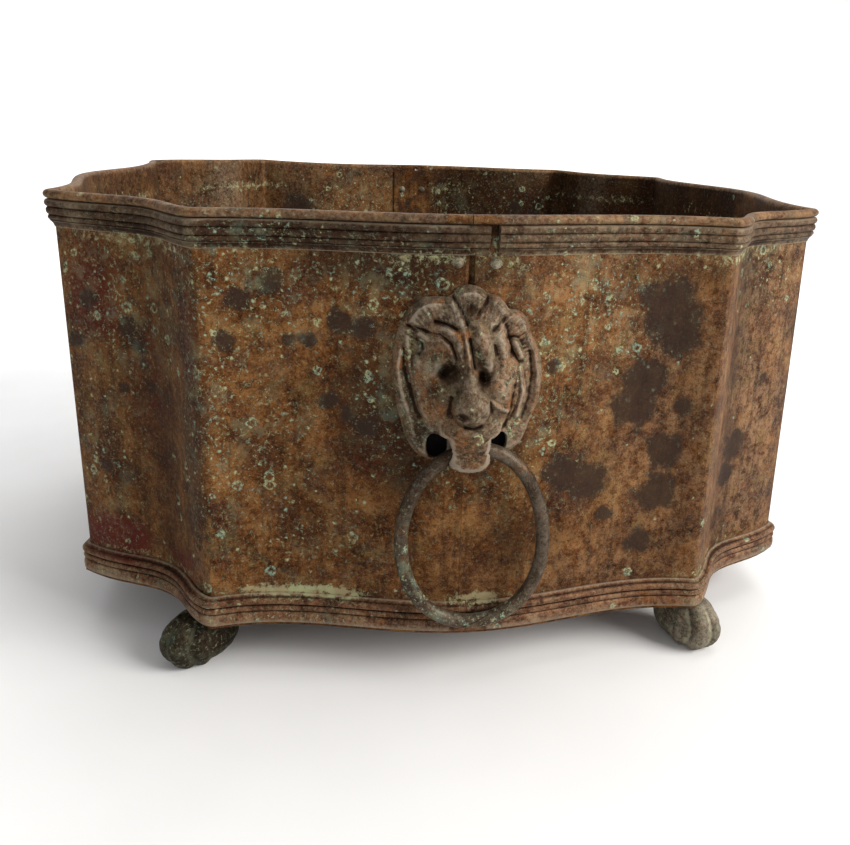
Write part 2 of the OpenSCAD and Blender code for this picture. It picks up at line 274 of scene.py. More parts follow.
STAINS = [  # centre and radius of the dark stains that stand out
    ((67, -134, 133), 12.0), ((72, -133, 123), 9.0), ((61, -135, 106), 9.0), ((58, -136, 97), 9.5),
    ((33, -139, 75), 8.5), ((43, -138, 71), 8.5), ((69, -133, 64), 9.0), ((65, -134, 45), 6.5),
    ((71, -133, 81), 7.5), ((76, -132, 97), 4.5), ((27, -140, 114), 3.0), ((50, -137, 58), 4.0),
    ((-64, -135, 140), 5.4), ((-75, -132, 135), 4.6), ((-43, -138, 128), 5.0), ((-36, -139, 126), 4.6),
    ((-59, -135, 122), 3.2), ((-53, -136, 121), 3.4),
    ((-80, -131, 121), 4.0), ((-47, -137, 101), 4.0), ((-41, -138, 97), 3.6), ((-34, -139, 93), 4.0),
    ((111, -111, 72), 7.5), ((108, -113, 61), 6.0), ((102, -118, 133), 3.0),
    ((122, -102, 98), 3.0), ((106, -115, 45), 3.6),
    ((-114, -108, 128), 3.4), ((-115, -108, 118), 5.0), ((-112, -111, 112), 4.4), ((-111, -112, 105), 3.8),
    ((-109, -113, 98), 4.4), ((-119, -104, 96), 3.2), ((-129, -96, 127), 4.2), ((-135, -91, 111), 3.4),
    ((-128, -97, 64), 3.0),
    ((40, 138, 118), 7.5), ((52, 137, 96), 6.0), ((-36, 139, 84), 7.0), ((-62, 135, 128), 6.0),
    ((-70, 133, 60), 5.0), ((70, 133, 66), 6.5), ((30, 139, 52), 4.5), ((-30, 139, 130), 4.5),
    ((149, 20, 110), 8.0), ((149, 8, 98), 6.0), ((146, -40, 76), 6.0), ((148, 46, 64), 7.0),
    ((-149, -24, 116), 7.0), ((-148, 30, 92), 6.5), ((-146, 50, 62), 5.0), ((-150, -6, 70), 5.0),
    ((112, 110, 100), 5.0), ((-112, 110, 84), 5.5), ((118, 104, 62), 4.0), ((-120, 103, 128), 4.0),
]

VERDIGRIS = [  # centre, reach and strength of the areas with green spots
    ((-74, -132, 140), (26, 20, 22), 1.0), ((-84, -130, 100), (12, 16, 50), 0.8),
    ((-30, -139, 136), (22, 14, 16), 0.7), ((40, -139, 136), (26, 14, 20), 1.0),
    ((22, -140, 100), (14, 14, 22), 0.9), ((-28, -140, 106), (10, 14, 24), 0.7),
    ((10, -141, 78), (26, 14, 12), 0.5), ((-70, -134, 84), (20, 14, 30), 0.6),
    ((-118, -106, 128), (26, 24, 26), 0.9), ((-130, -96, 70), (16, 20, 40), 0.5),
    ((120, -104, 140), (26, 24, 14), 0.5), ((-60, -136, 52), (30, 14, 18), 0.4),
    ((60, 136, 130), (34, 20, 26), 0.9), ((-50, 137, 90), (26, 20, 34), 0.7),
    ((149, 30, 120), (20, 40, 30), 0.8), ((-149, -30, 90), (20, 36, 40), 0.8),
    ((0, 140, 60), (30, 16, 20), 0.6), ((-112, 112, 110), (26, 26, 34), 0.7),
    ((-120, -104, 21), (24, 20, 4), 1.0), ((-60, -136, 21), (40, 14, 4), 0.8),
    ((-88, -131, 22), (8, 8, 8), 1.0), ((88, -131, 24), (6, 8, 9), 1.0),
    ((54, -136, 119), (10, 14, 4), 1.0), ((30, -139, 122), (14, 14, 14), 0.9),
    ((-66, -135, 156), (26, 14, 5), 1.0), ((-20, -139, 152), (30, 14, 3), 0.7),
    ((50, -138, 158), (50, 14, 7), 0.5),
    ((110, 108, 22), (30, 26, 5), 0.8), ((0, 142, 22), (60, 14, 4), 0.7),
]

WINE = [  # centre, reach and strength of the wine-red areas
    ((-128, -97, 36), (22, 20, 12), 1.0), ((-104, -118, 34), (18, 16, 9), 0.8),
    ((-128, -97, 128), (20, 20, 26), 0.7), ((-112, -110, 96), (18, 18, 44), 0.6),
    ((-36, -139, 82), (18, 14, 22), 0.45),
    ((-92, -128, 120), (10, 12, 40), 0.5), ((26, -140, 40), (20, 14, 10), 0.3),
    ((-148, 20, 40), (20, 40, 16), 0.6), ((60, 136, 40), (30, 20, 14), 0.5),
]

DARK_AND_SHADE_AREAS = [  # centre, reach and strength of the broad dark areas: dark patina, with painted shade on the left diagonal panel, away from the light, and the mask's painted shadow on the wall to its left
    # painted shadow: the second area on this line and the first on the next lie left of the mask, where it
    # casts its shadow on the wall
    ((-30, -139, 146), (34, 14, 7), 0.8), ((-34, -139, 98), (13, 14, 26), 0.75),
    ((-22, -140, 88), (12, 12, 26), 0.7), ((-92, -128, 96), (7, 12, 60), 0.55),
    ((74, -133, 144), (22, 14, 7), 0.4), ((80, -132, 86), (8, 14, 50), 0.3),
    ((-52, -136, 60), (16, 14, 26), 0.35), ((18, -140, 52), (20, 14, 16), 0.45),
    # painted shade: the areas at x from -92 to -140, on the left diagonal panel, darken the side that faces
    # away from the light
    ((-120, -104, 110), (20, 20, 44), 0.35), ((-149, 0, 130), (20, 50, 24), 0.5),
    ((149, -10, 60), (20, 40, 30), 0.4), ((30, 139, 90), (30, 14, 40), 0.5),
    ((-50, -138, 156), (60, 20, 6), 0.55), ((-122, -102, 96), (30, 34, 80), 0.30),
    ((-140, -60, 60), (20, 40, 50), 0.3), ((10, -140, 84), (14, 10, 8), 0.5),
]

PAINTED_LIGHT_AREAS = [  # centre, reach and strength of the painted light: areas painted paler where the light falls, mostly on the right-hand side
    ((72, -133, 90), (34, 20, 80), 0.55), ((118, -106, 90), (30, 30, 90), 1.0),
    ((60, -136, 34), (60, 20, 16), 0.5), ((30, -139, 140), (40, 20, 26), 0.3),
    ((60, -135, 155), (90, 20, 12), 0.5), ((150, 0, 90), (30, 70, 90), 0.7),
    ((0, 140, 80), (70, 20, 60), 0.3),
]


def field(p, areas):
    total = np.zeros(len(p))
    for centre, reach, strength in areas:
        total = np.maximum(total, strength * bump_at(p, centre, reach))
    return total


def stain_field(p):
    """1 in the middle of the nearest stain, 0 at its edge and negative outside it. Depth through the
    sheet counts for less, so that a stain is round on its panel."""
    nearest = np.full(len(p), -2.0)
    for centre, radius in STAINS:
        weights = [0.35, 1, 1] if abs(centre[0]) > END_CUSP[0] else [1, 0.35, 1]
        d = np.linalg.norm((p - np.array(centre)) * weights, axis=1)
        nearest = np.maximum(nearest, 1 - d / radius)
    return nearest


def crust_field(p):
    """Pale crust, along the top of the base band and under the rim band."""
    over_base = np.exp(-((p[:, 2] - BASE_BAND_TOP - 1.2) / 3.0) ** 2)
    under_rim = 0.75 * np.exp(-((p[:, 2] - RIM_BAND_FOOT + 1.5) / 3.2) ** 2)
    along = 0.55 + 0.45 * np.sin(p[:, 0] / 17 + 2.1) * np.sin(p[:, 1] / 23 + 0.4)
    front_left = smooth_step(-92, -70, p[:, 0]) * (1 - smooth_step(-42, -24, p[:, 0]))
    in_ring = np.exp(-((p[:, 0] - 4) / 14) ** 2)
    low = np.maximum(np.maximum(front_left, in_ring) * (p[:, 1] < 0), 0.6 * along)
    return np.maximum(over_base * low, under_rim * along)


def set_field(piece, name, values):
    attributes = piece.data.attributes
    attribute = attributes.get(name) or attributes.new(name, "FLOAT", "POINT")
    attribute.data.foreach_set("value", np.asarray(values, np.float32))


def relief(piece, rounds, reach_mm):
    """How far each point stands above its surroundings, in shares of a reach: 1 on crests, -1 in
    hollows."""
    mesh = piece.data
    count = len(mesh.vertices)
    p = points_of(piece)
    normals = np.empty(count * 3, np.float32)
    mesh.vertices.foreach_get("normal", normals)
    edges = np.empty(len(mesh.edges) * 2, np.int64)
    mesh.edges.foreach_get("vertices", edges)
    a, b = edges.reshape(-1, 2).T
    degree = np.maximum(np.bincount(np.concatenate([a, b]), minlength=count), 1)[:, None]
    smooth = p.copy()
    for _ in range(rounds):
        total = np.zeros_like(smooth)
        np.add.at(total, a, smooth[b])
        np.add.at(total, b, smooth[a])
        smooth = total / degree
    height = ((p - smooth) * normals.reshape(-1, 3)).sum(1)
    return np.clip((height - np.median(height)) / reach_mm, -1, 1)


def paint(piece, places, worn, **changed):
    """Gives a piece the fields that its material reads: where it is worn, and what lies at its places
    on the pot, apart from the fields that are changed."""
    fields = {"stain": stain_field(places), "crust": crust_field(places), "relief": worn}
    for name, areas in (("verdigris", VERDIGRIS), ("wine", WINE), ("soot", DARK_AND_SHADE_AREAS), ("faded", PAINTED_LIGHT_AREAS)):
        fields[name] = field(places, areas)
    fields.update(changed)
    for name, values in fields.items():
        set_field(piece, name, values)


# ---- Materials -------------------------------------------------------------------------------

class Nodes:
    """Builds a material's nodes. Every method returns an output socket."""

    def __init__(self, name):
        self.material = bpy.data.materials.new(name)
        self.material.use_nodes = True
        self.tree = self.material.node_tree
        self.shader = self.tree.nodes["Principled BSDF"]
        scale = self.node("VectorMath", {0: self.node("TexCoord").outputs["Object"], "Scale": 1 / MM},
                          operation="SCALE")
        self.place = scale.outputs[0]

    def node(self, kind, inputs=(), **settings):
        """A new node of a kind, with values or other nodes' outputs put into its inputs."""
        node = self.tree.nodes.new("ShaderNode" + kind)
        for name, value in settings.items():
            setattr(node, name, value)
        for key, value in dict(inputs).items():
            self.put(node.inputs[key], value)
        return node

    def put(self, socket, value):
        if isinstance(value, bpy.types.NodeSocket):
            self.tree.links.new(value, socket)
        else:
            socket.default_value = value

    def math(self, operation, *values, clamp=False):
        return self.node("Math", enumerate(values), operation=operation, use_clamp=clamp).outputs[0]

    def times(self, a, b, clamp=False):
        return self.math("MULTIPLY", a, b, clamp=clamp)

    def plus(self, a, b):
        return self.math("ADD", a, b)

    def larger(self, a, b):
        return self.math("MAXIMUM", a, b)

    def scaled(self, value, factor, offset, clamp=False):
        return self.math("MULTIPLY_ADD", value, factor, offset, clamp=clamp)

    def over(self, colour, share, strength, tint):
        """A tint laid over a colour, by a share times a strength."""
        return self.mix(self.times(share, strength), colour, tint)

    def stretched(self, factors, place=None):
        inputs = {0: place or self.place, 1: factors}
        return self.node("VectorMath", inputs, operation="MULTIPLY").outputs[0]

    def moved(self, amount, size, place=None):
        """The place pushed about by noise, so that edges drawn with it wander."""
        start = place or self.place
        noise = self.node("TexNoise", {"Scale": 1 / size, "Detail": 3, "Vector": start})
        inputs = {0: noise.outputs["Color"], 1: (2 * amount,) * 3, 2: (-amount,) * 3}
        centred = self.node("VectorMath", inputs, operation="MULTIPLY_ADD")
        return self.node("VectorMath", {0: start, 1: centred.outputs[0]}, operation="ADD").outputs[0]

    def noise(self, size, detail=4, roughness=0.6, place=None):
        inputs = {"Scale": 1 / size, "Detail": detail, "Roughness": roughness,
                  "Vector": place or self.place}
        return self.node("TexNoise", inputs).outputs["Fac"]

    def cells(self, size, place=None):
        """Distance to the nearest of scattered points, in cell sizes, and two random numbers of that
        point's own."""
        cells = self.node("TexVoronoi", {"Scale": 1 / size, "Vector": place or self.place})
        split = self.node("SeparateColor", {0: cells.outputs["Color"]})
        return cells.outputs["Distance"], split.outputs[0], split.outputs[1]

    def step(self, low, high, value):
        inputs = {"Value": value, "From Min": low, "From Max": high}
        return self.node("MapRange", inputs, interpolation_type="SMOOTHSTEP").outputs["Result"]

    def ramp(self, value, stops):
        node = self.node("ValToRGB", {0: value})
        elements = node.color_ramp.elements
        for k, (position, colour) in enumerate(stops):
            element = elements[k] if k < 2 else elements.new(position)
            element.position = position
            element.color = (*colour, 1)
        return node.outputs["Color"]

    def mix(self, share, a, b):
        a, b = ((*colour, 1) if isinstance(colour, tuple) else colour for colour in (a, b))
        return self.node("Mix", {"Factor": share, 6: a, 7: b}, data_type="RGBA").outputs[2]

    def field(self, name):
        return self.node("Attribute", attribute_name=name).outputs["Fac"]

    def finish(self, colour, roughness, metallic, height, bump):
        relief = self.node("Bump", {"Distance": MM, "Strength": bump, "Height": height})
        looks = {"Base Color": colour, "Roughness": roughness, "Metallic": metallic,
                 "Normal": relief.outputs[0]}
        for name, value in looks.items():
            self.put(self.shader.inputs[name], value)
        return self.material


VERDIGRIS_PALE = (0.40, 0.42, 0.23)
VERDIGRIS_BLUE = (0.25, 0.37, 0.27)
CRUST_CREAM = (0.36, 0.31, 0.17)
STAIN_DARK = (0.030, 0.019, 0.014)
WINE_RED = (0.075, 0.011, 0.009)
# dark brown of the dark patina, streaks and grain, and of painted shade
DARK_AND_SHADE_BROWN = (0.022, 0.009, 0.005)
RUST_ORANGE = (0.21, 0.075, 0.018)
# painted light: the pale tan laid where the light falls
PAINTED_LIGHT_TAN = (0.30, 0.195, 0.125)
UMBER_FILM = (0.052, 0.021, 0.015)
OLIVE_FILM = (0.200, 0.135, 0.050)
GROOVE_DARK = (0.012, 0.005, 0.003)
# painted shade: the black of the holes beside the jaw
HOLE_SHADE_BLACK = (0.003, 0.002, 0.002)


def patina(name, dark, middle, light, spots=0.5, crusting=1.0, wear=0.5, grooves=0.6, metallic=0.25,
           roughness=0.55, spread=1.0, worn=(0.34, 0.27, 0.19), groove_colour=GROOVE_DARK, rust=0.55,
           films=0.0):
    """Old brass under brown oxide, with green spots, crust, stains and worn crests, and with painted light
    and shade: paler tan where the light falls, darker in shade, black in holes.

    spots, crusting, wear, grooves, rust and films say how much of each there is. spread scales the
    mottling."""
    n = Nodes(name)
    wandering = n.moved(1.8, 5)
    broad = n.noise(19 * spread, 5, 0.62, wandering)
    mottle = n.noise(4.2 * spread, 6, 0.72)
    fine = n.noise(1.5, 5, 0.7)
    grain = n.noise(0.5, 3, 0.6)
    tone = n.plus(n.times(broad, 0.52), n.times(mottle, 0.48))
    colour = n.ramp(tone, [(0.415, dark), (0.60, light), (0.498, middle)])
    # painted light: paler tan where the light falls
    faded = n.times(n.field("faded"), n.step(0.36, 0.60, mottle))
    colour = n.over(colour, faded, 0.62, PAINTED_LIGHT_TAN)

    ochre = n.step(0.53, 0.68, n.noise(8, 5, 0.7, n.moved(2.2, 3)))
    colour = n.over(colour, ochre, rust, RUST_ORANGE)
    olive = n.step(0.52, 0.66, n.noise(9, 6, 0.72, n.moved(3.0, 4)))
    colour = n.over(colour, olive, films, OLIVE_FILM)
    umber = n.step(0.50, 0.60, n.noise(13, 6, 0.68, n.moved(4.0, 6)))
    colour = n.over(colour, umber, 1.3 * films, UMBER_FILM)
    rusty = n.times(n.field("rust"), n.step(0.36, 0.58, mottle))
    colour = n.over(colour, rusty, 0.85, RUST_ORANGE)
    colour = n.over(colour, n.step(0.50, 0.66, fine), 0.40, light)
    colour = n.over(colour, n.step(0.49, 0.36, fine), 0.55, dark)
    streak = n.noise(3.4, 4, 0.65, n.stretched((1, 1, 0.07)))
    colour = n.over(colour, n.step(0.50, 0.68, streak), 0.50, DARK_AND_SHADE_BROWN)
    colour = n.over(colour, n.step(0.50, 0.70, grain), 0.30, light)
    colour = n.over(colour, n.step(0.52, 0.34, grain), 0.45, DARK_AND_SHADE_BROWN)

    # dark patina, with painted shade and shadow: the inside of the pot, the mask's shadow on the wall, the
    # left side away from the light and the mask's hollows
    soot = n.step(0.18, 0.85, n.plus(n.field("soot"), n.times(mottle, 0.35)))
    colour = n.over(colour, soot, 0.78, DARK_AND_SHADE_BROWN)
    wine = n.step(0.46, 0.70, n.scaled(mottle, 0.55, n.times(n.field("wine"), 0.55)))
    colour = n.over(colour, wine, 0.85, WINE_RED)

    edge = n.scaled(n.noise(6, 5, 0.7), 1.9, -0.95)
    stain = n.step(-0.08, 0.28, n.plus(n.field("stain"), edge))
    colour = n.over(colour, n.times(stain, n.step(0.18, 0.50, fine)), 0.90, STAIN_DARK)

    green = green_spots(n, spots)
    tint = n.mix(n.step(0.42, 0.60, n.noise(5, 3)), VERDIGRIS_PALE, VERDIGRIS_BLUE)
    colour = n.over(colour, green, 0.80, tint)

    crust = n.scaled(n.noise(2.4, 6, 0.78, wandering), 1.4, n.times(n.field("crust"), 0.46 * crusting))
    crust = n.step(0.92, 1.12, crust)
    crust_tint = n.mix(n.step(0.4, 0.6, n.noise(9, 2)), CRUST_CREAM, VERDIGRIS_PALE)
    colour = n.over(colour, crust, 0.78, crust_tint)

    crest = n.scaled(fine, 0.9, n.math("SUBTRACT", n.field("relief"), 0.45))
    high = n.step(0.12, 0.80, crest)
    colour = n.over(colour, high, wear, worn)
    low = n.step(-0.10, -0.70, n.field("relief"))
    colour = n.over(colour, low, grooves, groove_colour)
    # painted shade: black in the holes beside the jaw
    colour = n.mix(n.field("void"), colour, HOLE_SHADE_BLACK)

    rough = n.scaled(mottle, 0.30, roughness - 0.15)
    covered = n.larger(green, crust)
    rough = n.scaled(covered, 0.28, rough, clamp=True)
    metal = n.times(n.math("SUBTRACT", 1.0, covered), metallic)
    height = n.plus(n.times(mottle, 0.16), n.times(fine, 0.12))
    height = n.plus(height, n.times(covered, 0.14))
    n.shader.inputs["Specular IOR Level"].default_value = 0.04
    return n.finish(colour, rough, metal, height, 0.85)


def green_spots(n, spots):
    """Verdigris: broken rings and grains, thick where the verdigris field is strong."""
    amount = n.scaled(n.field("verdigris"), 0.85, 0.05 * spots)
    ragged = n.step(0.40, 0.56, n.noise(0.9, 4, 0.75))
    distance, pick, kind = n.cells(5.6, n.moved(1.3, 2.0))
    radius = n.scaled(kind, 0.20, 0.10)
    ring = n.step(0.13, 0.03, n.math("ABSOLUTE", n.math("SUBTRACT", distance, radius)))
    ring = n.times(ring, n.math("LESS_THAN", pick, n.times(amount, 0.55 * spots)))
    ring = n.times(ring, ragged)
    distance, pick, kind = n.cells(2.7, n.moved(0.9, 1.1))
    dot = n.step(n.scaled(kind, 0.24, 0.12), 0.06, distance)
    dot = n.times(dot, n.math("LESS_THAN", pick, n.times(amount, 0.8 * spots)))
    speckle = n.step(0.535, 0.67, n.noise(1.3, 5, 0.75, n.moved(0.8, 2.5)))
    cloud = n.step(0.50, 0.66, n.noise(7, 4, 0.65))
    speckle = n.times(speckle, n.times(n.plus(amount, 0.12), 1.3), clamp=True)
    film = n.times(n.times(cloud, amount), 0.34)
    green = n.larger(n.larger(ring, dot), n.larger(speckle, film))
    bare = n.math("SUBTRACT", 1.0, n.times(n.step(0.1, 0.5, n.field("stain")), 0.85))
    return n.times(green, bare)


WALL = patina("wall_patina", (0.026, 0.0075, 0.0028), (0.110, 0.040, 0.011), (0.255, 0.120, 0.040),
              spots=1.0, films=0.45)
BAND = patina("band_patina", (0.023, 0.010, 0.006), (0.066, 0.035, 0.020), (0.155, 0.108, 0.066),
              spots=0.4, crusting=0.8, wear=0.42, grooves=0.85, roughness=0.50, spread=0.7, rust=0.3)
BASE_BAND = patina("base_band_patina", (0.034, 0.012, 0.007), (0.140, 0.058, 0.030), (0.25, 0.150, 0.080),
                   spots=0.6, wear=0.42, grooves=0.80, roughness=0.50, spread=0.7, rust=0.5)
CASTING = patina("casting_patina", (0.040, 0.023, 0.013), (0.100, 0.064, 0.038), (0.20, 0.148, 0.100),
                 spots=1.1, wear=0.52, grooves=0.90, roughness=0.50, spread=0.6, rust=0.95,
                 worn=(0.37, 0.31, 0.235))
RING = patina("ring_patina", (0.035, 0.023, 0.016), (0.066, 0.048, 0.034), (0.125, 0.098, 0.072),
              spots=0.8, crusting=0.2, wear=0.35, grooves=0.5, metallic=0.4, roughness=0.42,
              spread=0.8, rust=0.25)
FOOT = patina("foot_patina", (0.050, 0.040, 0.028), (0.135, 0.112, 0.082), (0.25, 0.215, 0.165),
              spots=0.5, wear=0.25, grooves=0.60, roughness=0.52, spread=0.7,
              groove_colour=(0.36, 0.34, 0.23), rust=0.15)
# painted shade: a darker copy of the foot patina, for the feet on the left, away from the light
FOOT_SHADED = patina("shaded_foot_patina", (0.008, 0.005, 0.003), (0.026, 0.020, 0.012), (0.060, 0.052, 0.036),
                   spots=0.4, wear=0.15, grooves=0.55, roughness=0.50, spread=0.7,
                   groove_colour=(0.085, 0.085, 0.055), worn=(0.10, 0.09, 0.06), rust=0.05)
FIXING = patina("fixing_patina", (0.07, 0.05, 0.03), (0.20, 0.17, 0.11), (0.36, 0.33, 0.24),
                spots=0.4, crusting=0.2, wear=0.3, grooves=0.3, roughness=0.50, spread=0.4, rust=0.1)


# ---- Wall and mouldings ----------------------------------------------------------------------

def wall_section():
    """The sheet's section: up the outside, over the rolled bead and down the inside. Also how far
    each point's row reaches past the seam's edge, and which points are inside the pot."""
    bead_middle = TOP - BEAD_H / 2
    outside = [(0.0, z) for z in np.linspace(WALL_FOOT, TOP - BEAD_H, 72)]
    bead = arc((1.2, bead_middle), (1.8, BEAD_H / 2), -75, 90, 9)
    lip = arc((0.4, bead_middle), (1.4, BEAD_H / 2), 100, 180, 5)
    inside = [(-WALL_T, z) for z in np.linspace(TOP - 2.5, WALL_FOOT, 48)]
    section = outside + bead + lip + inside
    shut = (SEAM_GAP - BEAD_GAP) / 2
    heights = np.array(section)[:, 1]
    reach = shut * (1 - smooth_step(*SEAM_OPENS, heights))
    reach[len(outside):len(section) - len(inside)] = shut
    within = np.arange(len(section)) >= len(section) - len(inside)
    return section, reach, within


def rim_section():
    """Three reeds that step in downwards, over a cove."""
    cove = [(0.30, 150.4), (0.42, 150.9), (0.70, 151.5), (1.15, 152.1), (1.75, 152.6)]
    reeds = reed(152.8, 154.6, 1.35, 2.2)[::-1] + reed(154.6, 157.3, 1.6, 2.6)[::-1] \
        + reed(157.3, 159.85, 1.8, 2.9)[::-1]
    return [(BACK_OF_BAND, 150.4)] + cove + reeds + [(BACK_OF_BAND, 159.9)]


def base_section():
    """A flat foot moulding, a narrow reed, a round reed and a thin bead against the wall."""
    flat = [(2.2, 19.0), (2.7, 19.4), (2.85, 20.2), (2.85, 21.5), (2.7, 22.6), (2.45, 23.1)]
    reeds = reed(23.45, 25.75, 1.75, 2.75)[::-1] + reed(26.05, 28.55, 1.8, 3.0)[::-1]
    bead = [(1.5, 28.75), (1.05, 29.2), (0.75, 29.55), (0.35, 29.7)]
    return [(BACK_OF_BAND, 19.0)] + flat + reeds + bead + [(BACK_OF_BAND, BASE_BAND_TOP)]


def stood_off(p):
    """The base band doesn't lie close to the wall beside the front's left cusp."""
    out = p.copy()
    away = 0.7 * bump_at(p, (-93, -128, 27), (9, 10, 8))
    out[:, 0] -= 0.6 * away
    out[:, 1] -= 0.8 * away
    return out


def halves(name, run, section, material, reach=None, within=None, shape=None, sharp=35,
           crest_limit=1.0):
    """The right half of a strip round the pot, and the same half turned round for the left. within
    says which points of the section are inside the pot."""
    flat, around = strip_along(run, section, reach)
    columns = len(run[0])
    faces = tube_faces(columns, around)
    inner = np.tile(within, columns) if within is not None else np.zeros(len(flat), bool)
    near_end = np.zeros(columns, bool)
    near_end[:4] = near_end[-4:] = True
    for side, rest in (("right", flat), ("left", turned(flat))):
        shaped = shape(rest) if shape else rest
        piece = make_piece(f"{name}_{side}_sheet", warp(shaped), faces, material,
                           replaced=(f"{name}_{side}",), sharp=sharp)
        places = np.where(inner[:, None], turned(rest), rest)
        # painted shade: the inside of the pot darker all over, and much darker and less green on the back
        # right, which faces away from the light
        shade = inner * smooth_step(0, 80, rest[:, 0]) * (rest[:, 1] > 0)
        worn = np.minimum(relief(piece, 6, 0.45), crest_limit)
        paint(piece, places, np.where(np.repeat(near_end, around), np.minimum(worn, 0), worn),
              soot=np.where(inner, 0.22 + 1.9 * shade, field(places, DARK_AND_SHADE_AREAS)),
              verdigris=field(places, VERDIGRIS) * (1 - 0.85 * shade))


def build_walls():
    section, reach, within = wall_section()
    run = right_run(SEAM_X + SEAM_GAP / 2, -SEAM_X + SEAM_GAP / 2)
    halves("wall", run, section, WALL, reach, within, crest_limit=0.35)


def build_bands():
    rim_run = right_run(BAND_JOINT_X + SEAM_GAP / 2, -BAND_JOINT_X + SEAM_GAP / 2)
    halves("rim_band", rim_run, rim_section(), BAND, sharp=60)
    halves("base_band", right_run(0.1, 0.1), base_section(), BASE_BAND, shape=stood_off, sharp=60)


# ---- Lion mask -------------------------------------------------------------------------------
# u runs right and v up from the mask's middle; heights are above the wall.

MASK_OUTLINE = [
    (23.6, -5.5), (24.0, 2.0), (22.4, 8.8), (19.8, 13.5), (19.0, 16.1), (17.5, 20.0), (14.4, 22.4),
    (11.9, 22.2), (11.1, 23.1), (10.0, 24.9), (7.1, 27.2), (4.8, 26.9), (4.1, 27.8), (1.8, 29.6),
    (-1.4, 30.1), (-4.1, 29.6), (-6.6, 26.8), (-8.0, 26.1), (-12.1, 26.1), (-15.7, 25.7), (-18.3, 24.0),
    (-21.4, 19.2), (-23.1, 15.4), (-24.0, 10.6), (-25.1, 4.9), (-24.7, -1.9), (-23.7, -7.8), (-21.8, -15.3),
    (-19.3, -22.9), (-16.4, -26.6), (-11.5, -28.6), (-6.8, -29.2), (-3.2, -30.6), (0.7, -31.0),
    (4.6, -30.0), (7.2, -27.6), (10.5, -26.2), (14.5, -25.6), (17.3, -23.5), (20.6, -15.1),
]
MASK_MIDDLE = (0.0, -2.0)
PLATE_H = 2.4

DOMES = [  # centre, radii, height at the edge and at the crown, and how square the plan is
    ((-1, -2), (17.5, 20), 2.2, 8.2, 2), ((-2, 13), (13.5, 13.5), 2.2, 8.0, 2),
    ((-0.2, -14.5), (11.2, 7.0), 3.5, 10.6, 2.3), ((-0.2, -20.4), (7.7, 11.4), 5.2, 11.0, 4),
    ((-0.4, -7.8), (6.2, 6.6), 8.5, 14.0, 2), ((8.5, -3.8), (4.8, 4.6), 4.5, 8.8, 2),
    ((-10.6, -6.0), (4.6, 4.6), 4.0, 6.6, 2), ((-0.6, 26.4), (4.6, 4.2), 2.8, 4.4, 3),
    ((8.6, 22.4), (4.6, 4.4), 2.5, 4.8, 2.3), ((14.6, 17.4), (4.2, 4.6), 2.5, 4.4, 2.3),
    ((-13.6, 20.6), (7.2, 5.2), 2.5, 5.0, 2.5),
]

RIDGES = [  # points with their heights, half width, and how far the ridge stands over its feet
    ([(-8, 26.1, 4.4), (-4.7, 20.6, 6.6), (-3.1, 15.5, 8.6), (-2, 9, 10.4),
      (-1.2, 0.3, 11.4)], 1.3, 1.8),
    ([(-11.5, 17.5, 5.4), (-8.1, 17.1, 7.6), (-5, 13.3, 9.2), (-3.6, 7.8, 9.7),
      (-2.8, 2.2, 10)], 2.2, 2.2),
    ([(-16.4, 14.9, 4.4), (-13.2, 12.8, 5.6), (-9.7, 13.2, 7.2), (-7.4, 10.8, 8.2),
      (-5.6, 6.5, 8.6)], 1.7, 1.7),
    ([(-18.3, 20.1, 4.2), (-14.3, 20.2, 5.0), (-10.3, 21.2, 5.6)], 1.4, 1.0),
    ([(1.5, 20.6, 6.4), (5.3, 18.3, 6.8), (8.3, 18.5, 5.6)], 1.2, 1.2),
    ([(-0.4, 20.4, 7.2), (1.3, 15.7, 9.2), (3.2, 10.7, 9.8), (4.9, 5.6, 9.4)], 3.4, 2.8),
    ([(7.6, 15.6, 6.4), (9.4, 10.2, 7.2), (9.2, 5.0, 7.4)], 2.4, 2.0),
    ([(-1.2, 2.0, 11.2), (-0.8, -3.6, 12.2)], 3.0, 2.6),
    ([(-16.7, 5.4, 4.6), (-17, -0.3, 4.6), (-15, -8.7, 4.8), (-11.5, -16.2, 5.2)], 1.8, 1.4),
    ([(-22.6, 8.9, 3.3), (-23.4, 2.1, 3.3), (-21.9, -5.2, 3.4), (-19.5, -12.6, 3.4),
      (-17.6, -20, 2.9)], 1.3, 1.2),
    ([(17.8, 14.7, 3.4), (20.6, 8.8, 3.4), (22.3, 2, 3.3), (22.4, -5.5, 3.3),
      (20, -15.1, 3.0)], 1.3, 1.2),
    ([(4, -4.7, 9.4), (7.5, -7.4, 8.9), (11.7, -9.9, 7.4)], 1.1, 1.2),
    ([(10.3, 6.6, 6.4), (12.4, 1.8, 6.0), (13.6, -3.5, 5.6)], 1.1, 1.4),
    ([(15.5, 3.5, 4.6), (17.2, -4.5, 4.4), (15.4, -12.5, 4.2)], 1.2, 1.3),
    ([(13.4, 12.6, 5.2), (16.0, 7.5, 4.6)], 1.2, 1.2),
    ([(-20.5, 13.5, 3.6), (-20.2, 6, 3.8), (-18.9, -1, 3.9)], 1.0, 1.0),
    ([(-10.2, -1.6, 6.4), (-6.8, -2.8, 8.0), (-4.8, -4.2, 9.6)], 1.1, 1.1),
]

